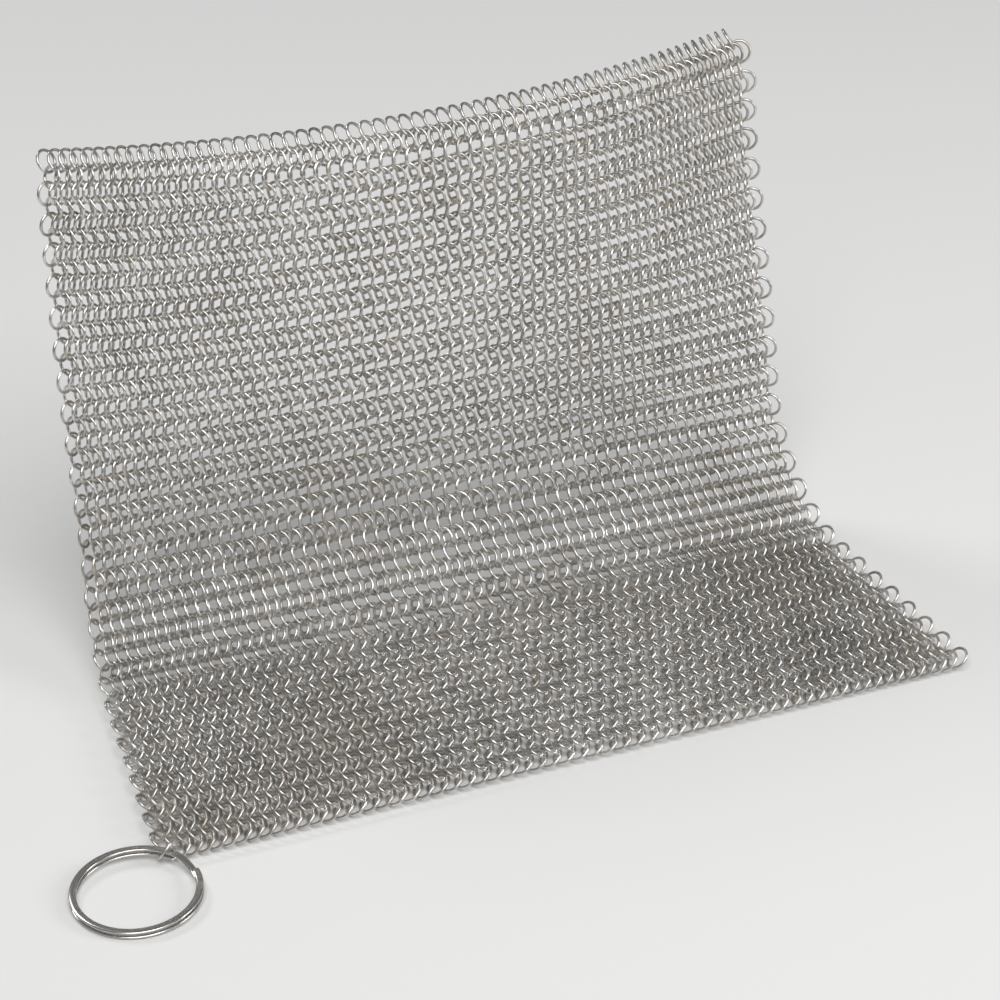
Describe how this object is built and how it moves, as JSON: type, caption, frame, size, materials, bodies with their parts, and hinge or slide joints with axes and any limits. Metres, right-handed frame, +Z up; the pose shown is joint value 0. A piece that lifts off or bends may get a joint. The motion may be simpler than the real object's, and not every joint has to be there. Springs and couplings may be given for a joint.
{
  "type": "ring-mail pot scrubber",
  "caption": "Flexible square of welded steel ring mail for scouring cookware, hung over a pan rim, with a split ring through one corner for a hook.",
  "frame": {"origin": "on the axis of the rim that the mail is folded over, halfway along the fold", "axes": "+Z up; +X along the rows, to the right of somebody facing the hanging front; +Y away from them"},
  "size_m": [0.1516, 0.0909, 0.084],
  "materials": {
    "mail wire": "tumbled bright stainless wire",
    "split ring wire": "polished nickel-plated spring wire"
  },
  "bodies": {
    "hung_mail": {"mail_row_01": "mail wire", "mail_row_02": "mail wire", "mail_row_03": "mail wire", "mail_row_04": "mail wire", "mail_row_05": "mail wire", "mail_row_06": "mail wire", "mail_row_07": "mail wire", "mail_row_08": "mail wire", "mail_row_09": "mail wire", "mail_row_10": "mail wire", "mail_row_11": "mail wire", "mail_row_12": "mail wire", "mail_row_13": "mail wire", "mail_row_14": "mail wire", "mail_row_15": "mail wire", "mail_row_16": "mail wire", "mail_row_17": "mail wire", "mail_row_18": "mail wire", "mail_row_19": "mail wire", "mail_row_20": "mail wire", "mail_row_21": "mail wire", "mail_row_22": "mail wire", "mail_row_23": "mail wire", "mail_row_24": "mail wire", "mail_row_25": "mail wire", "mail_row_26": "mail wire", "mail_row_27": "mail wire", "mail_row_28": "mail wire", "mail_row_29": "mail wire", "mail_row_30": "mail wire"},
    "row_31": {"mail_row_31": "mail wire"},
    "row_32": {"mail_row_32": "mail wire"},
    "row_33": {"mail_row_33": "mail wire"},
    "row_34": {"mail_row_34": "mail wire"},
    "row_35": {"mail_row_35": "mail wire"},
    "row_36": {"mail_row_36": "mail wire"},
    "row_37": {"mail_row_37": "mail wire"},
    "row_38": {"mail_row_38": "mail wire"},
    "row_39": {"mail_row_39": "mail wire"},
    "row_40": {"mail_row_40": "mail wire"},
    "row_41": {"mail_row_41": "mail wire"},
    "row_42": {"mail_row_42": "mail wire"},
    "row_43": {"mail_row_43": "mail wire"},
    "row_44": {"mail_row_44": "mail wire"},
    "row_45": {"mail_row_45": "mail wire"},
    "row_46": {"mail_row_46": "mail wire"},
    "row_47": {"mail_row_47": "mail wire"},
    "row_48": {"mail_row_48": "mail wire"},
    "row_49": {"mail_row_49": "mail wire"},
    "row_50": {"mail_row_50": "mail wire"},
    "hem": {"mail_row_51": "mail wire", "mail_row_52": "mail wire", "corner_ring": "mail wire"},
    "split_ring": {"split_ring": "split ring wire"}
  },
  "joints": [
    {"name": "row_31_fold", "type": "hinge", "parent": "hung_mail", "child": "row_31", "pos_m": [0, -0.0148, -0.0664], "axis": [-1, 0, 0], "range_deg": [-17.4, 0]},
    {"name": "row_32_fold", "type": "hinge", "parent": "row_31", "child": "row_32", "pos_m": [0, -0.01661, -0.06821], "axis": [1, 0, 0], "range_deg": [0, 17.4]},
    {"name": "row_33_fold", "type": "hinge", "parent": "row_32", "child": "row_33", "pos_m": [0, -0.01861, -0.06981], "axis": [-1, 0, 0], "range_deg": [-17.4, 0]},
    {"name": "row_34_fold", "type": "hinge", "parent": "row_33", "child": "row_34", "pos_m": [0, -0.02078, -0.07117], "axis": [1, 0, 0], "range_deg": [0, 17.4]},
    {"name": "row_35_fold", "type": "hinge", "parent": "row_34", "child": "row_35", "pos_m": [0, -0.02309, -0.07228], "axis": [-1, 0, 0], "range_deg": [-17.4, 0]},
    {"name": "row_36_fold", "type": "hinge", "parent": "row_35", "child": "row_36", "pos_m": [0, -0.0255, -0.07312], "axis": [1, 0, 0], "range_deg": [0, 17.4]},
    {"name": "row_37_fold", "type": "hinge", "parent": "row_36", "child": "row_37", "pos_m": [0, -0.02799, -0.07369], "axis": [-1, 0, 0], "range_deg": [-17.4, 0]},
    {"name": "row_38_fold", "type": "hinge", "parent": "row_37", "child": "row_38", "pos_m": [0, -0.03054, -0.07398], "axis": [1, 0, 0], "range_deg": [0, 17.4]},
    {"name": "row_39_fold", "type": "hinge", "parent": "row_38", "child": "row_39", "pos_m": [0, -0.0331, -0.07402], "axis": [-1, 0, 0], "range_deg": [-11, 11]},
    {"name": "row_40_fold", "type": "hinge", "parent": "row_39", "child": "row_40", "pos_m": [0, -0.03566, -0.07402], "axis": [1, 0, 0], "range_deg": [-11, 11]},
    {"name": "row_41_fold", "type": "hinge", "parent": "row_40", "child": "row_41", "pos_m": [0, -0.03822, -0.07402], "axis": [-1, 0, 0], "range_deg": [-11, 11]},
    {"name": "row_42_fold", "type": "hinge", "parent": "row_41", "child": "row_42", "pos_m": [0, -0.04078, -0.07402], "axis": [1, 0, 0], "range_deg": [-11, 11]},
    {"name": "row_43_fold", "type": "hinge", "parent": "row_42", "child": "row_43", "pos_m": [0, -0.04334, -0.07402], "axis": [-1, 0, 0], "range_deg": [-11, 11]},
    {"name": "row_44_fold", "type": "hinge", "parent": "row_43", "child": "row_44", "pos_m": [0, -0.0459, -0.07402], "axis": [1, 0, 0], "range_deg": [-11, 11]},
    {"name": "row_45_fold", "type": "hinge", "parent": "row_44", "child": "row_45", "pos_m": [0, -0.04846, -0.07402], "axis": [-1, 0, 0], "range_deg": [-11, 11]},
    {"name": "row_46_fold", "type": "hinge", "parent": "row_45", "child": "row_46", "pos_m": [0, -0.05102, -0.07402], "axis": [1, 0, 0], "range_deg": [-11, 11]},
    {"name": "row_47_fold", "type": "hinge", "parent": "row_46", "child": "row_47", "pos_m": [0, -0.05358, -0.07402], "axis": [-1, 0, 0], "range_deg": [-11, 11]},
    {"name": "row_48_fold", "type": "hinge", "parent": "row_47", "child": "row_48", "pos_m": [0, -0.05614, -0.07402], "axis": [1, 0, 0], "range_deg": [-11, 11]},
    {"name": "row_49_fold", "type": "hinge", "parent": "row_48", "child": "row_49", "pos_m": [0, -0.0587, -0.07402], "axis": [-1, 0, 0], "range_deg": [-11, 11]},
    {"name": "row_50_fold", "type": "hinge", "parent": "row_49", "child": "row_50", "pos_m": [0, -0.06126, -0.07402], "axis": [1, 0, 0], "range_deg": [-11, 11]},
    {"name": "hem_fold", "type": "hinge", "parent": "row_50", "child": "hem", "pos_m": [0, -0.06382, -0.07402], "axis": [-1, 0, 0], "range_deg": [-11, 11]},
    {"name": "split_ring_swing", "type": "hinge", "parent": "hem", "child": "split_ring", "pos_m": [-0.06655, -0.06779, -0.07362], "axis": [-0.737, 0.6759, -0.0021], "range_deg": [-3, 15]}
  ]
}
